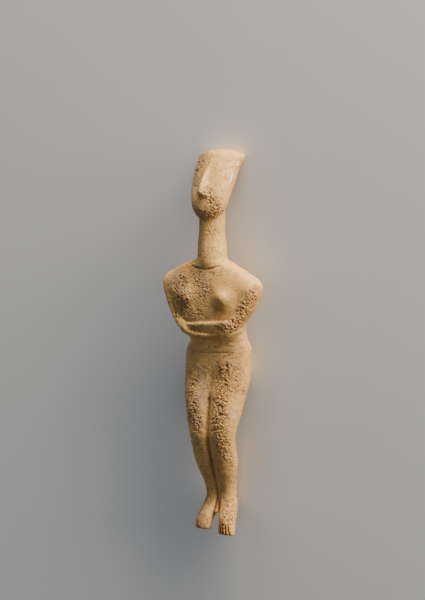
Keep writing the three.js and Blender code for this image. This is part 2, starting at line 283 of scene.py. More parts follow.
def bars(points, x, height, z):
    """The field of round bars from point to point, whose rows end with a radius."""
    nearest = np.inf
    for (ax, ah, az, ar), (bx, bh, bz, br) in itertools.pairwise(points):
        dx, dh, dz = bx - ax, bh - ah, bz - az
        t = ((x - ax) * dx + (height - ah) * dh + (z - az) * dz) / (dx * dx + dh * dh + dz * dz)
        t = np.clip(t, 0, 1)
        away = np.sqrt((x - ax - t * dx) ** 2 + (height - ah - t * dh) ** 2 + (z - az - t * dz) ** 2)
        nearest = np.minimum(nearest, away - (ar + t * (br - ar)))
    return nearest


def ball(row, x, height, z):
    return np.sqrt((x - row[0]) ** 2 + (height - row[1]) ** 2 + (z - row[2]) ** 2) - row[3]


head = through(HEAD)
neck = through(NECK)
trunk = through(TRUNK)
leg = through(LEG)
arm = through(ARM)
sway = through(SWAY)
upper_forearm = through(UPPER_FOREARM)
lower_forearm = through(LOWER_FOREARM)


def slab(curve, rows, x, height, z, rounding, lean=0):
    """The field of a flat band across the front, between its ends."""
    middle, half, front = curve(x)
    face = z - front - lean * (height - middle)
    edges = smooth_max(np.abs(height - middle) - half, face, rounding)
    ends = np.maximum(rows[0][0] - x, x - rows[-1][0])
    return np.maximum(np.maximum(edges, ends), CORE_HEIGHT - z)


def ridge_place(height):
    """Where the nose's ridge lies across the face at that height."""
    down = (NOSE_BROW[1] - height) / (NOSE_BROW[1] - NOSE_TIP[1])
    return NOSE_BROW[0] + down * (NOSE_TIP[0] - NOSE_BROW[0])


def nose_field(x, height, z):
    """A wedge with its ridge running from the brow down to the tip."""
    (_, brow_h, brow_z), (_, tip_h, tip_z) = NOSE_BROW, NOSE_TIP
    t = (brow_h - height) / (brow_h - tip_h)
    risen = np.where(t > 0, 1 - np.maximum(1 - t, 0) ** NOSE_SWELL, NOSE_SWELL * t)
    ridge_x, ridge_z = ridge_place(height), brow_z + risen * (tip_z - brow_z)
    steep = NOSE_DEPTH / NOSE_HALF_WIDTH
    aside = np.sqrt((x - ridge_x) ** 2 + NOSE_BLUNTNESS**2) - NOSE_BLUNT_SPARE
    sides = (steep * aside + z - ridge_z) / math.hypot(steep, 1)
    under = (tip_h - NOSE_UNDERCUT * (tip_z - z) - height) / math.hypot(NOSE_UNDERCUT, 1)
    return np.maximum(smooth_max(sides, under, BLEND["nose_edge"]), CORE_HEIGHT - z)


def head_field(x, height, z):
    half, axis, front, back = head(height)
    dome = (
        height
        - LENGTH
        + x**2 / (2 * CROWN["side_radius"])
        + (z - CROWN["ground"]) ** 2 / (2 * CROWN["depth_radius"])
    )
    mass = oval(x, z - axis, half, front, back, POWER["head"])
    mass = smooth_max(mass, dome, BLEND["crown_edge"])
    spare = KEEL["chin_spare"] * (1 - ramp(height, KEEL["low"], KEEL["high"]))
    flank = z - axis - front - spare + KEEL["slope"] * (KEEL["across"] - x)
    mass = smooth_max(mass, flank / math.hypot(1, KEEL["slope"]), BLEND["keel"])
    mass = smooth_max(mass, CHIN_HEIGHT - height, BLEND["chin"])
    beside = np.where(x > ridge_place(height), BLEND["nose_left"], BLEND["nose_right"])
    return smooth_min(mass, nose_field(x, height, z), beside)


def neck_field(x, height, z):
    half, axis, front, back = neck(height)
    ends = np.maximum(NECK[0][0] - height, height - NECK[-1][0])
    return np.maximum(oval(x, z - axis, half, front, back, POWER["neck"]), ends)


def upper_arms_field(x, height, z):
    half, axis, front, back, apart = arm(height)
    elbow = np.where(x > 0, LEFT_ELBOW, RIGHT_ELBOW)
    ends = np.maximum(elbow - height, height - ARM[-1][0])
    limb = oval(np.abs(x) - apart, z - axis, half, front, back, POWER["arm"])
    return smooth_max(limb, ends, BLEND["arm_end"])


def untilted(x, height):
    """The height on the figure before its shoulders and hips are tilted."""
    shoulders = ramp(height, SHOULDER_TILT["low"], SHOULDER_TILT["high"])
    height = height + SHOULDER_TILT["share"] * x * shoulders
    hips = HIP_TILT["share"] * x * ramp(height, HIP_TILT["low"], HIP_TILT["high"])
    return height - hips * ramp(height, HIP_TILT["end"], HIP_TILT["fading"])


def ribs_field(x, height, z, shift):
    half, axis, front, back, power = trunk(height)
    wide = ramp(height, RIGHT_CHEST["low"], RIGHT_CHEST["full"])
    wide = wide * ramp(height, RIGHT_CHEST["high"], RIGHT_CHEST["fading"])
    wide = wide * ramp(shift - x, 0, half)
    half, front = half + RIGHT_CHEST["wider"] * wide, front + RIGHT_CHEST["fuller"] * wide
    ribs = oval(x - shift, z - axis, half, front, back, power)
    return smooth_max(ribs, height - TRUNK[-1][0], BLEND["shoulder_top"])


def breasts_field(x, height, z):
    breasts = np.minimum(*(ball(row, x, height, z) for row in BREASTS))
    tips = np.minimum(*(ball(row, x, height, z) for row in BREAST_TIPS))
    return smooth_min(breasts, tips, BLEND["breast_tip"])


def bust_field(x, height, z, shift):
    height = untilted(x, height)
    chest = smooth_min(ribs_field(x, height, z, shift), breasts_field(x, height, z), BLEND["breast"])
    crease = (height - SHOULDER_HEIGHT) / BLEND["crease_rise"]
    crease = np.clip(crease, BLEND["least_crease"], BLEND["most_crease"])
    chest = smooth_min(chest, upper_arms_field(x, height, z), crease)
    lower = slab(lower_forearm, LOWER_FOREARM, x, height, z, BLEND["lower_edge"])
    chest = smooth_min(chest, lower, BLEND["lower_forearm"])
    upper = slab(upper_forearm, UPPER_FOREARM, x, height, z, BLEND["upper_edge"], FOREARM_LEAN)
    return smooth_min(chest, upper, BLEND["upper_forearm"])


def leg_power(side, apart, height):
    """An ellipse on the outer side of a leg, and squarer than that on its inner side."""
    thigh, shin = ramp(height, *THIGH_SQUARER), ramp(height, *SHIN_SQUARER)
    square = ramp(height, *FOOT_SQUARER) * (thigh + SHIN_SQUARENESS * shin)
    return np.where(side < apart, POWER["leg"] + square, POWER["leg"])


def legs_field(x, height, z, shift):
    half, axis, front, back, apart = leg(height)
    side = np.abs(x - shift)
    web = oval(x - shift, z - axis, WEB["half_width"], WEB["front"], WEB["back"], POWER["web"])
    web = smooth_max(web, WEB_HEIGHT - height, BLEND["web_end"])
    limb = oval(side - apart, z - axis, half, front, back, leg_power(side, apart, height))
    left = smooth_max(limb, LEFT_TOES - height, BLEND["left_toes"])
    right = smooth_max(limb, RIGHT_TOES - height, BLEND["right_toes"])
    limbs = smooth_min(np.where(x > 0, left, right), web, BLEND["web"])
    return smooth_min(limbs, ball(BUTTOCK, side, height, z), BLEND["buttock"])


def figure_field(x, height, z):
    """The field of the whole figure, negative inside the marble, in millimetres."""
    (shift,) = sway(height)
    upper = smooth_min(neck_field(x, height, z), bust_field(x, height, z, shift), BLEND["neck"])
    upper = smooth_min(head_field(x - shift, height, z), upper, BLEND["head"])
    upper = smooth_max(upper, TRUNK[0][0] - height, BLEND["hip_edge"])
    lower = smooth_max(legs_field(x, height, z, shift), height - LEG[-1][0], BLEND["hip_edge"])
    return np.maximum(smooth_min(upper, lower, BLEND["hip"]), -z)


# The mesh starts with one vertex in each grid cell that the surface passes through
GRID_STEP = 1.05
MOST_TRIANGLES = 196000
GRID_MARGIN = 3
HEADROOM = 4  # the carved surface may stand this far over the solid
SLICE = 40  # layers of the grid worked out at a time
CELL_CORNERS = np.array(list(itertools.product((0, 1), repeat=3)))
# The vertices are then spread evenly, and drawn back onto the surface after each time
ROUNDS = 4
SPREAD = 0.5
LEAST_SLOPE_SQUARED = 0.2
LONGEST_MOVE = 0.6
GROUND_TOUCH = 0.3  # a vertex below this height stays on the ground
# The rests get no relief: they are lower than this and face down at least so much
REST_HEIGHT = 0.6
REST_FACING = -0.5


def grid_values(low, counts):
    axes = [low[k] + GRID_STEP * np.arange(counts[k]) for k in range(3)]
    x, z = axes[0][:, None, None], axes[2][None, None, :]
    layers = [axes[1][i : i + SLICE][None, :, None] for i in range(0, counts[1], SLICE)]
    return np.concatenate([figure_field(x, height, z) for height in layers], axis=1)


def crossed_cells(inside):
    """The cells with corners on both sides of the surface."""
    cells = np.array(inside.shape) - 1
    corners = sum(
        inside[i : i + cells[0], j : j + cells[1], k : k + cells[2]].astype(np.int8)
        for i, j, k in CELL_CORNERS
    )
    return (corners > 0) & (corners < len(CELL_CORNERS))


def net_points(values, base, low):
    """The mean of the places where the surface cuts each cell's edges."""
    total, found = np.zeros(base.shape), np.zeros(len(base))
    for start, end in itertools.combinations(CELL_CORNERS, 2):
        if np.abs(end - start).sum() != 1:
            continue
        a, b = values[tuple((base + start).T)], values[tuple((base + end).T)]
        cut = (a < 0) != (b < 0)
        share = np.where(cut, a / np.where(cut, a - b, 1), 0)
        total += cut[:, None] * (base + start + share[:, None] * (end - start))
        found += cut
    return low + GRID_STEP * total / found[:, None]


def net_faces(inside, number):
    """One face around each grid edge that the surface cuts, facing outward."""
    quads = []
    for axis in range(3):
        step, u, v = np.eye(3, dtype=int)[[axis, (axis + 1) % 3, (axis + 2) % 3]]
        here = inside[tuple(slice(0, size - one) for size, one in zip(inside.shape, step))]
        there = inside[tuple(slice(one, None) for one in step)]
        node = np.argwhere(here != there)
        around = [number[tuple((node - back).T)] for back in (0 * u, u, u + v, v)]
        ring = np.stack(around, axis=1)
        leaving = inside[tuple(node.T)]
        quads.append(np.where(leaving[:, None], ring, ring[:, ::-1]))
    return np.concatenate(quads)


def surface_net(low, counts):
    """The vertices and the four-sided faces of the figure's surface."""
    values = grid_values(low, counts)
    inside = values < 0
    active = crossed_cells(inside)
    number = np.full(active.shape, -1)
    number[active] = np.arange(active.sum())
    return net_points(values, np.argwhere(active), low), net_faces(inside, number)


def slope_of(points, reach=0.25):
    """The field and its gradient at the points."""
    gradient = np.empty_like(points)
    for k in range(3):
        ahead, behind = points.copy(), points.copy()
        ahead[:, k] += reach
        behind[:, k] -= reach
        gradient[:, k] = (figure_field(*ahead.T) - figure_field(*behind.T)) / (2 * reach)
    return figure_field(*points.T), gradient


def settle(points, quads):
    """Spreads the vertices evenly and draws them onto the surface. Gives them and their normals."""
    starts = quads.ravel()
    ends = np.roll(quads, -1, axis=1).ravel()
    near, far = np.concatenate([starts, ends]), np.concatenate([ends, starts])
    degree = np.bincount(near, minlength=len(points))[:, None]
    on_ground = points[:, 2] < GROUND_TOUCH
    for _ in range(ROUNDS):
        mean = np.stack([np.bincount(near, points[far, k], len(points)) for k in range(3)], axis=1)
        points = points + SPREAD * (mean / degree - points)
        value, gradient = slope_of(points)
        length = np.maximum((gradient**2).sum(axis=1), LEAST_SLOPE_SQUARED)
        move = np.clip(value / length, -LONGEST_MOVE, LONGEST_MOVE)
        points = points - move[:, None] * gradient
    points[on_ground, 2] = np.maximum(points[on_ground, 2], 0)
    return points, gradient / np.linalg.norm(gradient, axis=1, keepdims=True)


# Repeatable noise
def lattice(cell, seed):
    """An even random number from 0 to 1 for each whole-numbered place."""
    a, b, c = (cell[:, k].astype(np.int64).astype(np.uint32) for k in range(3))
    mixed = a * np.uint32(0x8DA6B343) ^ b * np.uint32(0xD8163841) ^ c * np.uint32(0xCB1AB31F)
    mixed = mixed ^ np.uint32(seed * 0x9E3779B1 % 2**32)
    mixed = (mixed ^ (mixed >> 15)) * np.uint32(0x2C1B3C6D)
    mixed = (mixed ^ (mixed >> 12)) * np.uint32(0x297A2D39)
    return (mixed ^ (mixed >> 15)) / 2.0**32


def waves(points, size, seed):
    """Smooth noise from -1 to 1 with features of that size."""
    place = points / size
    cell = np.floor(place)
    t = place - cell
    t = t * t * (3 - 2 * t)
    total = 0
    for corner in itertools.product((0, 1), repeat=3):
        weight = np.prod(np.where(np.array(corner) == 1, t, 1 - t), axis=1)
        total = total + weight * lattice(cell + corner, seed)
    return 2 * total - 1


def pebbles(points, size, seed):
    """The distance to the nearest of scattered spots, in sizes, and a random number of that spot."""
    place = points / size
    cell = np.floor(place)
    nearest, chosen = np.full(len(points), 9.0), np.zeros(len(points))
    for step in itertools.product((-1, 0, 1), repeat=3):
        spot = cell + step
        offset = np.stack([lattice(spot, seed + k) for k in range(3)], axis=1)
        away = np.linalg.norm(spot + offset - place, axis=1)
        chosen = np.where(away < nearest, lattice(spot, seed + 3), chosen)
        nearest = np.minimum(nearest, away)
    return nearest, chosen


# Areas of the surface, as bars along it: place across, height, z and radius, then a strength. They
# are crusted, stained orange, smooth and clean, pale, and darkened grey-brown, as patina on the
# crusted chest and as painted shade on the face's right side and other sides turned from the light.
CRUSTS = [
    ([[-24, 438, 52, 8], [-18, 424, 59, 13], [-6, 408, 61, 15], [8, 398, 62, 10]], 0.6),
    ([[-46, 402, 62, 18], [-40, 378, 66, 18]], 0.85),
    ([[-50, 362, 60, 16], [-16, 362, 64, 12]], 0.5),
    ([[-8, 386, 63, 12], [0, 394, 62, 8]], 0.5),
    ([[12, 436, 58, 4], [14, 424, 58, 5]], 0.7),
    ([[88, 403, 49, 9], [82, 388, 52, 12], [73, 368, 56, 12], [62, 352, 59, 12], [50, 342, 63, 11]], 1.0),
    ([[50, 341, 62, 10], [30, 341, 66, 8]], 0.9),
    ([[-35, 338, 62, 9], [-10, 334, 65, 8]], 0.5),
    ([[-32, 262, 47, 9], [-27, 234, 55, 11], [-25, 203, 60, 11], [-21, 179, 61, 11]], 0.85),
    ([[-20, 179, 62, 10], [-17, 150, 60, 7]], 0.6),
    ([[28, 272, 50, 14], [30, 252, 53, 14], [28, 232, 57, 14], [27, 208, 60, 14]], 1.0),
    ([[50, 270, 42, 10], [50, 252, 45, 10], [44, 236, 50, 9]], 0.7),
    ([[27, 208, 60, 14], [26, 178, 62, 13], [29, 150, 58, 12], [38, 120, 45, 8]], 0.95),
    ([[50, 240, 46, 8], [60, 234, 36, 8]], 0.8),
    ([[12, 552, 64, 9], [20, 536, 62, 13], [24, 522, 58, 12], [12, 514, 62, 12]], 1.0),
    ([[-12, 520, 60, 13], [4, 512, 62, 12]], 0.45),
    ([[-26, 600, 36, 13], [-26, 584, 42, 9], [-12, 606, 40, 5]], 0.8),
    ([[12, 506, 55, 10], [12, 490, 52, 11]], 0.5),
    ([[24, 50, 31, 11], [27, 33, 37, 14], [26, 20, 44, 12]], 0.75),
    ([[-26, 34, 40, 9], [-24, 14, 47, 11]], 0.45),
    ([[61, 306, 28, 4], [64, 292, 30, 4]], 0.6),
]
STAINS_AND_SHADE = [
    ([[92, 403, 42, 10], [84, 380, 46, 12], [72, 356, 52, 12]], 0.9),
    ([[66, 366, 58, 12], [40, 342, 66, 10]], 0.4),
    ([[32, 272, 51, 17], [36, 246, 53, 15], [28, 215, 58, 10]], 0.7),
    # Orange-brown on the left breast's tip, and painted shade on its lower side and below it
    ([[36, 388, 70, 5], [33, 376, 66, 12], [32, 362, 60, 12]], 0.7),
    ([[41, 602, 15, 6], [40, 588, 24, 4]], 0.9),
    ([[30, 60, 18, 6], [31, 44, 26, 6]], 0.6),
    ([[12, 40, 30, 7], [16, 18, 44, 10], [30, 8, 42, 9]], 0.9),
    ([[-30, 10, 42, 6], [-16, 6, 40, 6]], 0.7),
    ([[0, 437, 60, 4], [12, 438, 58, 4]], 0.8),
    ([[62, 305, 26, 5], [65, 280, 30, 5]], 0.6),
]
SMOOTHS = [
    ([[14, 420, 60, 10], [34, 408, 60, 16], [64, 404, 54, 16], [86, 404, 36, 8]], 1.0),
    ([[20, 396, 64, 8], [52, 384, 56, 10]], 0.8),
    ([[60, 290, 28, 8], [54, 262, 36, 12], [52, 214, 46, 12]], 0.8),
    ([[10, 470, 56, 14], [8, 450, 56, 12]], 0.4),
]
PALES = [
    ([[38.2, 580, 36, 1.8], [36.8, 569.5, 42.3, 1.8]], 1.0),
    ([[40.4, 601, 21.5, 1.2], [40, 595, 25, 1.2]], 0.7),
    ([[48, 214, 51, 3], [48, 198, 51, 3]], 0.2),
]
PATINA_AND_SHADE = [
    # Painted shade on the right side of the face, which turns away from the light
    ([[-24, 606, 34, 14], [-26, 580, 44, 14], [-26, 550, 54, 14]], 1.0),
    ([[-14, 530, 62, 12], [2, 520, 64, 10]], 0.7),
    ([[-16, 500, 46, 11], [-17, 450, 46, 11]], 0.8),
    ([[-60, 410, 56, 16], [-42, 400, 62, 14], [-34, 384, 64, 12]], 0.85),
    ([[-20, 430, 58, 14], [4, 400, 62, 14]], 0.6),
    ([[-34, 240, 46, 12], [-28, 190, 54, 12]], 0.95),
    ([[-16, 262, 46, 12], [-12, 225, 52, 12], [-14, 185, 54, 10]], 1.0),
    ([[-24, 50, 30, 12], [-24, 12, 44, 14]], 0.6),
    ([[30, 344, 62, 8], [-20, 340, 62, 8]], 0.5),
]
# Cut lines on the front, as places across and heights, then their depth and width
LINES = [
    ([[-34, 293.5], [-22, 295.5], [5, 296], [22, 297.5], [35, 299]], 1.0, 1.1),
    ([[-6, 296], [22, 297.5], [32, 298.5]], 0.6, 1.3),
    ([[-29, 288], [-24.5, 281.6], [-13, 272.5], [-1, 268]], 0.4, 1.8),
    ([[40, 297], [30, 291], [20, 283.6], [8, 271], [2, 258]], 0.7, 2.0),
    ([[29, 308], [40, 309], [48, 308.5]], 0.6, 1.0),
    ([[-67, 394], [-63, 372], [-57, 349]], 0.9, 1.3),
]
# The line around the neck is curved at the front and straight at the back. The toes are cut apart by
# gaps between them, given by their places across at the toes' tips.
NECKLINE = {
    "front": 430.5,
    "middle": -5,
    "curve": 0.0075,
    "back": 443,
    "half": 28,
    "fade": 6,
    "low": 30,
    "high": 48,
    "depth": 1.1,
    "width": 1.4,
}
TOES = {
    "top": 23,
    "middle": 23,
    "gaps": [15.3, 21, 26.8, 32.2],
    "narrowing": 0.25,
    "fade": 10,
    "depth": 2.0,
    "width": 1.1,
}
# How far up a place has to face for the cuts there to start, and to be whole
LINE_FACING = (0.1, 0.4)
TOE_FACING = (-0.5, 0)
# Noise on the surface: how strong or high it is, its size and its seed
WOBBLES = [(5, 10, 11), (5, 4, 12)]
HAND_WORK = [(0.4, 38, 21), (0.18, 14, 22), (0.07, 5, 23)]
FINE_GRAIN = (0.16, 2.4, 24)
BACK_CRUST = {"strength": 0.7, "size": 46, "seed": 13, "low": 0.15, "high": 0.5, "facing": 0.4}
LUMPS = {"height": 1.4, "size": 3.4, "seed": 31, "level": 0.5}
CRUST_WAVES = (0.5, 2.4, 32)
CRUST_RISE = 0.3
CHANNELS = {"depth": 0.3, "size": 4, "seed": 33, "width": 0.2}
HOLES = {"depth": 1.4, "size": 3.8, "seed": 41, "reach": 0.4, "slope": 0.2, "rare": 0.3}
PITS = {"depth": 0.6, "size": 5.5, "seed": 51, "reach": 0.24, "slope": 0.1, "rare": 0.5}
PIT_FIELDS = (0.4, 30, 52)
EVEN_GRAIN = 0.8  # the share of the fine grain that a smooth area loses
PALE_EDGE = 0.6
PALE_WOBBLE = 0.1
SMOOTH_WOBBLE = 0.5
# How deep the crust and the cuts have to be for their painted shade to start, and to be whole
CRUST_SHADE = (0.1, 1.0)
CUT_SHADE = (0.5, 1.3)
HOLLOW_SHADE_SHARE = 0.8  # how dark the pits and the cuts are painted as shade, next to the crust's hollows


def area(patches, points, wobble, outside=3, inside=5):
    """How strongly the points lie in any of the patches, from 0 to 1, with uneven edges."""
    strongest = np.zeros(len(points))
    for rows, strength in patches:
        inward = wobble - bars(rows, *points.T)
        strongest = np.maximum(strongest, strength * ramp(inward, -outside, inside))
    return strongest


def groove(away, width):
    """The section of a cut line, from 1 in its middle to 0 away from it."""
    return np.exp(-((away / width) ** 2))


def drawn_lines(points, facing):
    x, height, z = points.T
    depth = np.zeros(len(points))
    for rows, deep, width in LINES:
        flat = [[a, b, 0, 0] for a, b in rows]
        away = bars(flat, x, height, 0 * z)
        depth = np.maximum(depth, facing * deep * groove(away, width))
    return depth


def neck_line(points):
    x, height, z = points.T
    front = NECKLINE["front"] + NECKLINE["curve"] * (x - NECKLINE["middle"]) ** 2
    forward = ramp(z, NECKLINE["low"], NECKLINE["high"])
    ring = NECKLINE["back"] + (front - NECKLINE["back"]) * forward
    deep = NECKLINE["depth"] * ramp(NECKLINE["half"] - np.abs(x), 0, NECKLINE["fade"])
    return deep * groove(height - ring, NECKLINE["width"])


def toe_grooves(points, facing):
    x, height, _ = points.T
    depth = np.zeros(len(points))
    spread = 1 - TOES["narrowing"] * height / TOES["top"]
    fade = ramp(TOES["top"] - height, 0, TOES["fade"]) * facing
    for gap in TOES["gaps"]:
        away = np.abs(x - TOES["middle"] - spread * (gap - TOES["middle"]))
        depth = np.maximum(depth, fade * TOES["depth"] * groove(away, TOES["width"]))
    return depth


def cut_lines(points, normals):
    """The depth of all that is cut into the front: the drawn lines, the neck's and the toes' gaps."""
    drawn = drawn_lines(points, ramp(normals[:, 2], *LINE_FACING))
    toes = toe_grooves(points, ramp(normals[:, 2], *TOE_FACING))
    return np.maximum(np.maximum(drawn, neck_line(points)), toes)


def noise(points, rows):
    """Several waves together, from rows of strength, size and seed."""
    return sum(strength * waves(points, size, seed) for strength, size, seed in rows)


def spots(points, kind):
    """Round hollows scattered over the surface, from 0 to 1, and a random number for each of them."""
    near, number = pebbles(points, kind["size"], kind["seed"])
    return ramp(kind["reach"] - near, 0, kind["slope"]), number


def back_crust(points, normals):
    """Crust on the side that the photo doesn't show, in broad patches."""
    broad = waves(points, BACK_CRUST["size"], BACK_CRUST["seed"])
    hidden = ramp(-normals[:, 2], 0, BACK_CRUST["facing"])
    return BACK_CRUST["strength"] * (hidden * ramp(broad, BACK_CRUST["low"], BACK_CRUST["high"]))


def crust_relief(points, crust):
    near, _ = pebbles(points, LUMPS["size"], LUMPS["seed"])
    lumps = LUMPS["height"] * (LUMPS["level"] - near)
    vein = waves(points, CHANNELS["size"], CHANNELS["seed"])
    channel = groove(vein, CHANNELS["width"])
    holes, number = spots(points, HOLES)
    holes = holes * (number > HOLES["rare"])
    carved = lumps + noise(points, [CRUST_WAVES]) - CHANNELS["depth"] * channel
    return crust * (carved - HOLES["depth"] * holes + CRUST_RISE)


def sparse_pits(points, crust, even):
    pits, number = spots(points, PITS)
    pits = pits * (number > PITS["rare"] - noise(points, [PIT_FIELDS]))
    return pits * (1 - crust) * (1 - even)


def relief(points, normals):
    """The height of the weathered surface over the carved one, and its areas for the material."""
    wobble = noise(points, WOBBLES)
    crust = np.maximum(area(CRUSTS, points, wobble), back_crust(points, normals))
    even = area(SMOOTHS, points, SMOOTH_WOBBLE * wobble)
    cuts = cut_lines(points, normals)
    grain = noise(points, [FINE_GRAIN]) * (1 - EVEN_GRAIN * even)
    rough = crust_relief(points, crust)
    sparse = sparse_pits(points, crust, even)
    lift = noise(points, HAND_WORK) + grain + rough - PITS["depth"] * sparse - cuts
    # Painted shade: the crust's hollows and the sparse pits are darkened in the material
    deep = np.maximum(ramp(-rough, *CRUST_SHADE), HOLLOW_SHADE_SHARE * sparse)
    areas = {
        "crust": crust,
        "stain_and_shade": area(STAINS_AND_SHADE, points, wobble),
        "pale": area(PALES, points, PALE_WOBBLE * wobble, PALE_EDGE, PALE_EDGE),
        "patina_and_shade": area(PATINA_AND_SHADE, points, wobble),
        "hollow_shade": np.maximum(deep, HOLLOW_SHADE_SHARE * ramp(cuts, *CUT_SHADE)),
        "even": even,
    }
    return lift, areas


def thin_out(figure, triangles):
    """Joins the smallest faces where the surface is plain, to keep within the most triangles."""
    if triangles > MOST_TRIANGLES:
        modifier = figure.modifiers.new("thin", "DECIMATE")
        modifier.ratio = MOST_TRIANGLES / triangles
        graph = bpy.context.evaluated_depsgraph_get()
        full = figure.data
        figure.data = bpy.data.meshes.new_from_object(figure.evaluated_get(graph))
        figure.modifiers.clear()
        bpy.data.meshes.remove(full)
        figure.data.name = "marble_figure"
    figure.data.shade_smooth()
    figure.data.update()


def dressed_surface():
    """The figure's vertices with their relief, its faces, and the areas for its material."""
    low = np.array([NODE_LOW[0] / MM, 0, 0]) - GRID_MARGIN
    high = np.array([NODE_HIGH[0] / MM, LENGTH, NODE_HIGH[2] / MM + HEADROOM]) + GRID_MARGIN
    counts = np.ceil((high - low) / GRID_STEP).astype(int) + 1
    points, quads = surface_net(low, counts)
    points, normals = settle(points, quads)
    lift, areas = relief(points, normals)
    resting = (points[:, 2] < REST_HEIGHT) & (normals[:, 2] < REST_FACING)
    lift = np.where(resting, 0, lift)
    points = points + lift[:, None] * normals
    points[:, 2] = np.maximum(points[:, 2], 0)
    points[:, 1] -= LENGTH / 2
    return points, quads, areas


def make_figure():
    points, quads, areas = dressed_surface()
    mesh = bpy.data.meshes.new("marble_figure")
    mesh.from_pydata((points * MM).tolist(), [], quads.tolist())
    for name, values in areas.items():
        layer = mesh.attributes.new(name, "FLOAT", "POINT")
        layer.data.foreach_set("value", values.astype(np.float32))
    figure = bpy.data.objects.new("marble_figure", mesh)
    bpy.context.collection.objects.link(figure)
    thin_out(figure, 2 * len(quads))
    return figure


class Nodes:
    """Short calls for a material's node tree."""

    def __init__(self, name):
        self.material = bpy.data.materials.new(name)
        self.material.use_nodes = True
        self.tree = self.material.node_tree
        self.shader = self.tree.nodes["Principled BSDF"]

    def add(self, kind, **values):
        node = self.tree.nodes.new(kind)
        for name, value in values.items():
            setattr(node, name, value)
        return node

    def link(self, source, target):
        self.tree.links.new(source, target)

    def attribute(self, name):
        return self.add("ShaderNodeAttribute", attribute_name=name).outputs["Fac"]

    def noise(self, place, scale, detail=4, rough=0.55):
        node = self.add("ShaderNodeTexNoise")
        self.link(place, node.inputs["Vector"])
        node.inputs["Scale"].default_value = scale
        node.inputs["Detail"].default_value = detail
        node.inputs["Roughness"].default_value = rough
        return node.outputs["Fac"]

    def spots(self, place, scale):
        """The distance from the nearest of scattered spots."""
        node = self.add("ShaderNodeTexVoronoi")
        self.link(place, node.inputs["Vector"])
        node.inputs["Scale"].default_value = scale
        return node.outputs["Distance"]

    def ramp(self, value, low, high, to_low=0, to_high=1):
        node = self.add("ShaderNodeMapRange", clamp=True)
        self.link(value, node.inputs["Value"])
        for name, number in zip(
            ("From Min", "From Max", "To Min", "To Max"), (low, high, to_low, to_high)
        ):
            node.inputs[name].default_value = number
        return node.outputs["Result"]

    def times(self, a, b, kind="MULTIPLY"):
        node = self.add("ShaderNodeMath", operation=kind, use_clamp=True)
        for target, value in zip(node.inputs, (a, b)):
            if isinstance(value, (int, float)):
                target.default_value = value
            else:
                self.link(value, target)
        return node.outputs["Value"]

    def mix(self, share, first, second):
        node = self.add("ShaderNodeMix", data_type="RGBA")
        for target, value in zip((node.inputs[0], node.inputs[6], node.inputs[7]), (share, first, second)):
            if isinstance(value, tuple):
                target.default_value = (*value, 1)
            else:
                self.link(value, target)
        return node.outputs[2]


CREAM = (0.82, 0.47, 0.145)
HONEY = (0.68, 0.355, 0.095)
TAN = (0.4, 0.195, 0.06)
UMBER = (0.32, 0.2, 0.115)
BROWN = (0.19, 0.08, 0.025)
DARK = (0.06, 0.024, 0.01)
ORANGE = (0.6, 0.26, 0.055)
LIME = (0.86, 0.58, 0.27)
WHITE = (0.8, 0.78, 0.76)
MARBLE_SHEEN = 0.35
GRAIN_DEPTH = 0.002


def marble_noises(n, place):
    """The noises that the marble's colours and its roughness share, from the broadest to the finest."""
    return {
        "broad": n.noise(place, 16, 3),
        "cloud": n.noise(place, 50, 5, 0.6),
        "patch": n.noise(place, 95, 3, 0.6),
        "mottle": n.noise(place, 230, 5, 0.8),
        "grain": n.noise(place, 450, 3, 0.8),
    }


def clean_color(n, noises):
    """Cream and honey marble with tan clouds, lime specks and tan flecks, fewer where it is even."""
    cloud, mottle = noises["cloud"], noises["mottle"]
    even = n.ramp(n.attribute("even"), 0, 1, 1, 0.2)
    color = n.mix(n.ramp(noises["broad"], 0.35, 0.65), CREAM, HONEY)
    color = n.mix(n.ramp(cloud, 0.5, 0.72, 0, 0.6), color, TAN)
    color = n.mix(n.times(even, n.ramp(mottle, 0.5, 0.62, 0, 0.7)), color, LIME)
    fleck = n.times(n.ramp(noises["grain"], 0.52, 0.58), n.ramp(noises["patch"], 0.42, 0.58, 0.25, 1.0))
    return n.mix(n.times(even, fleck), color, TAN)


def weathered_color(n, noises, place, color):
    """The same with its crust, rust stains, grey-brown patina and painted shade, and pale spots. Painted
    shade also darkens the crust's crevices, the hollows, the pits and the cut lines.
    """
    cloud, mottle, grain = noises["cloud"], noises["mottle"], noises["grain"]
    crust, hollow_shade = n.attribute("crust"), n.attribute("hollow_shade")
    # Painted shade between the crust's lumps: brown away from scattered spots
    crevice_shade = n.times(crust, n.ramp(n.spots(place, 360), 0.42, 0.6))
    worn = n.times(crust, n.ramp(cloud, 0.35, 0.6, 0.45, 0.9))
    color = n.mix(worn, color, n.mix(n.ramp(mottle, 0.4, 0.6), TAN, HONEY))
    # Orange stains, and painted shade on the left breast's lower side and below it
    color = n.mix(n.times(n.attribute("stain_and_shade"), n.ramp(cloud, 0.35, 0.6, 0.2, 0.8)), color, ORANGE)
    color = n.mix(n.times(crust, n.ramp(grain, 0.51, 0.56, 0, 0.8)), color, LIME)
    # Grey-brown patina, and painted shade where these patches lie on sides turned from the light
    color = n.mix(n.times(n.attribute("patina_and_shade"), n.ramp(mottle, 0.35, 0.65, 1.0, 0.5)), color, UMBER)
    color = n.mix(n.times(crevice_shade, 0.75), color, BROWN)
    # Painted shade in the hollows, pits and cut lines: brown, and darkest in places
    color = n.mix(n.times(hollow_shade, n.ramp(mottle, 0.3, 0.7, 0.95, 0.6)), color, BROWN)
    color = n.mix(n.times(hollow_shade, n.ramp(grain, 0.46, 0.58, 0, 0.7)), color, DARK)
    return n.mix(n.times(n.attribute("pale"), 0.9), color, WHITE)


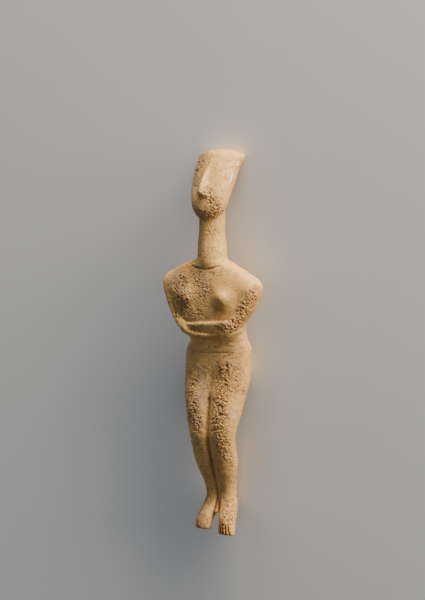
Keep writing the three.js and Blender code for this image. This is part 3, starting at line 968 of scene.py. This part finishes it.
def marble_grain(n, noises):
    """Fine grain as bump, under the relief that the mesh has."""
    fine = n.add("ShaderNodeBump")
    fine.inputs["Strength"].default_value = 1.0
    fine.inputs["Distance"].default_value = GRAIN_DEPTH
    height = n.times(n.times(noises["grain"], 0.5), n.times(noises["mottle"], 0.5), "ADD")
    n.link(height, fine.inputs["Height"])
    n.link(fine.outputs["Normal"], n.shader.inputs["Normal"])


def marble_material():
    n = Nodes("weathered_marble")
    place = n.add("ShaderNodeTexCoord").outputs["Object"]
    noises = marble_noises(n, place)
    color = weathered_color(n, noises, place, clean_color(n, noises))
    n.link(color, n.shader.inputs["Base Color"])
    crusty = n.ramp(n.attribute("crust"), 0, 1, 0, 0.3)
    rough = n.times(crusty, n.ramp(noises["mottle"], 0.3, 0.7, 0.5, 0.66), "ADD")
    n.link(rough, n.shader.inputs["Roughness"])
    n.shader.inputs["Specular IOR Level"].default_value = MARBLE_SHEEN
    marble_grain(n, noises)
    return n.material


FLOOR_REACH = 6
FLOOR_HEIGHT = -0.0003  # just below the ground, so that it doesn't cut the figure's rests
FLOOR_GREYS = ((0.7, 0.7, 0.7), (0.73, 0.73, 0.73))


def floor_material():
    n = Nodes("pale_floor")
    place = n.add("ShaderNodeTexCoord").outputs["Object"]
    n.link(n.mix(n.noise(place, 3, 2), *FLOOR_GREYS), n.shader.inputs["Base Color"])
    n.shader.inputs["Roughness"].default_value = 0.9
    n.shader.inputs["Specular IOR Level"].default_value = 0.1
    return n.material


def make_floor():
    sides = [(-1, -1), (1, -1), (1, 1), (-1, 1)]
    corners = [(FLOOR_REACH * x, FLOOR_REACH * y, FLOOR_HEIGHT) for x, y in sides]
    mesh = bpy.data.meshes.new("floor")
    mesh.from_pydata(corners, [], [(0, 1, 2, 3)])
    mesh.materials.append(floor_material())
    floor = bpy.data.objects.new("floor", mesh)
    bpy.context.collection.objects.link(floor)


# The camera stands to the figure's front left and a little above its middle
VIEW_SIDE = math.radians(35)
VIEW_RISE = math.radians(6.5)
VIEW_DISTANCE = 3.0
VIEW_HEIGHT = 0.955  # what the picture's long side shows at the figure
AIM = Vector((0, 0.0706, 0.0394))
LEAN = 0.015  # the lying figure is tipped this far from the photo's upright
SENSOR = 36


def look_frame():
    """The picture's right, up and nearer directions."""
    lift = Vector((0, math.cos(LEAN), -math.sin(LEAN)))
    front = Vector((0, math.sin(LEAN), math.cos(LEAN)))
    level = math.sin(VIEW_SIDE) * Vector((1, 0, 0)) + math.cos(VIEW_SIDE) * front
    near = math.cos(VIEW_RISE) * level + math.sin(VIEW_RISE) * lift
    right = lift.cross(near).normalized()
    return right, near.cross(right).normalized(), near.normalized()


def aim(thing, place, target, up):
    near = (place - target).normalized()
    right = up.cross(near).normalized()
    above = near.cross(right)
    turn = ((right.x, above.x, near.x), (right.y, above.y, near.y), (right.z, above.z, near.z))
    thing.matrix_world = Matrix.Translation(place) @ Matrix(turn).to_4x4()


def make_camera():
    right, up, near = look_frame()
    data = bpy.data.cameras.new("camera")
    data.sensor_width = SENSOR
    data.lens = SENSOR * VIEW_DISTANCE / VIEW_HEIGHT
    data.clip_end = 50
    camera = bpy.data.objects.new("camera", data)
    bpy.context.collection.objects.link(camera)
    aim(camera, AIM + VIEW_DISTANCE * near, AIM, up)
    bpy.context.scene.camera = camera


# The lights: name, direction from the figure, distance, width and height, power and tint
LIGHTS = [
    ("key", (0.45, 0.87, 0.11), 3.6, 5.0, 0.9, 550, (1, 0.92, 0.79)),
    ("side", (0.97, 0.2, 0.1), 3.0, 1.4, 0.6, 55, (1, 0.9, 0.74)),
    ("fill", (-0.75, 0.15, 0.65), 2.6, 2.0, 2.0, 9, (0.9, 0.94, 1)),
]
LIGHT_UP = (0, 0.01, 1)
SKY = (0.7, 0.82, 1.0)
SKY_STRENGTH = 0.14


def make_light(name, direction, distance, width, height, power, tint):
    data = bpy.data.lights.new(name, "AREA")
    data.shape = "RECTANGLE"
    data.size, data.size_y = width, height
    data.energy = power
    data.color = tint
    light = bpy.data.objects.new(name, data)
    bpy.context.collection.objects.link(light)
    place = AIM + distance * Vector(direction).normalized()
    aim(light, place, AIM, Vector(LIGHT_UP))


def make_sky():
    world = bpy.context.scene.world or bpy.data.worlds.new("world")
    bpy.context.scene.world = world
    world.use_nodes = True
    background = world.node_tree.nodes["Background"]
    background.inputs["Color"].default_value = (*SKY, 1)
    background.inputs["Strength"].default_value = SKY_STRENGTH


def make_lights():
    for row in LIGHTS:
        make_light(*row)
    make_sky()


make_camera()
figure = make_figure()
figure.data.materials.append(marble_material())
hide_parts("figurine")
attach(figure, "root")
make_floor()
make_lights()
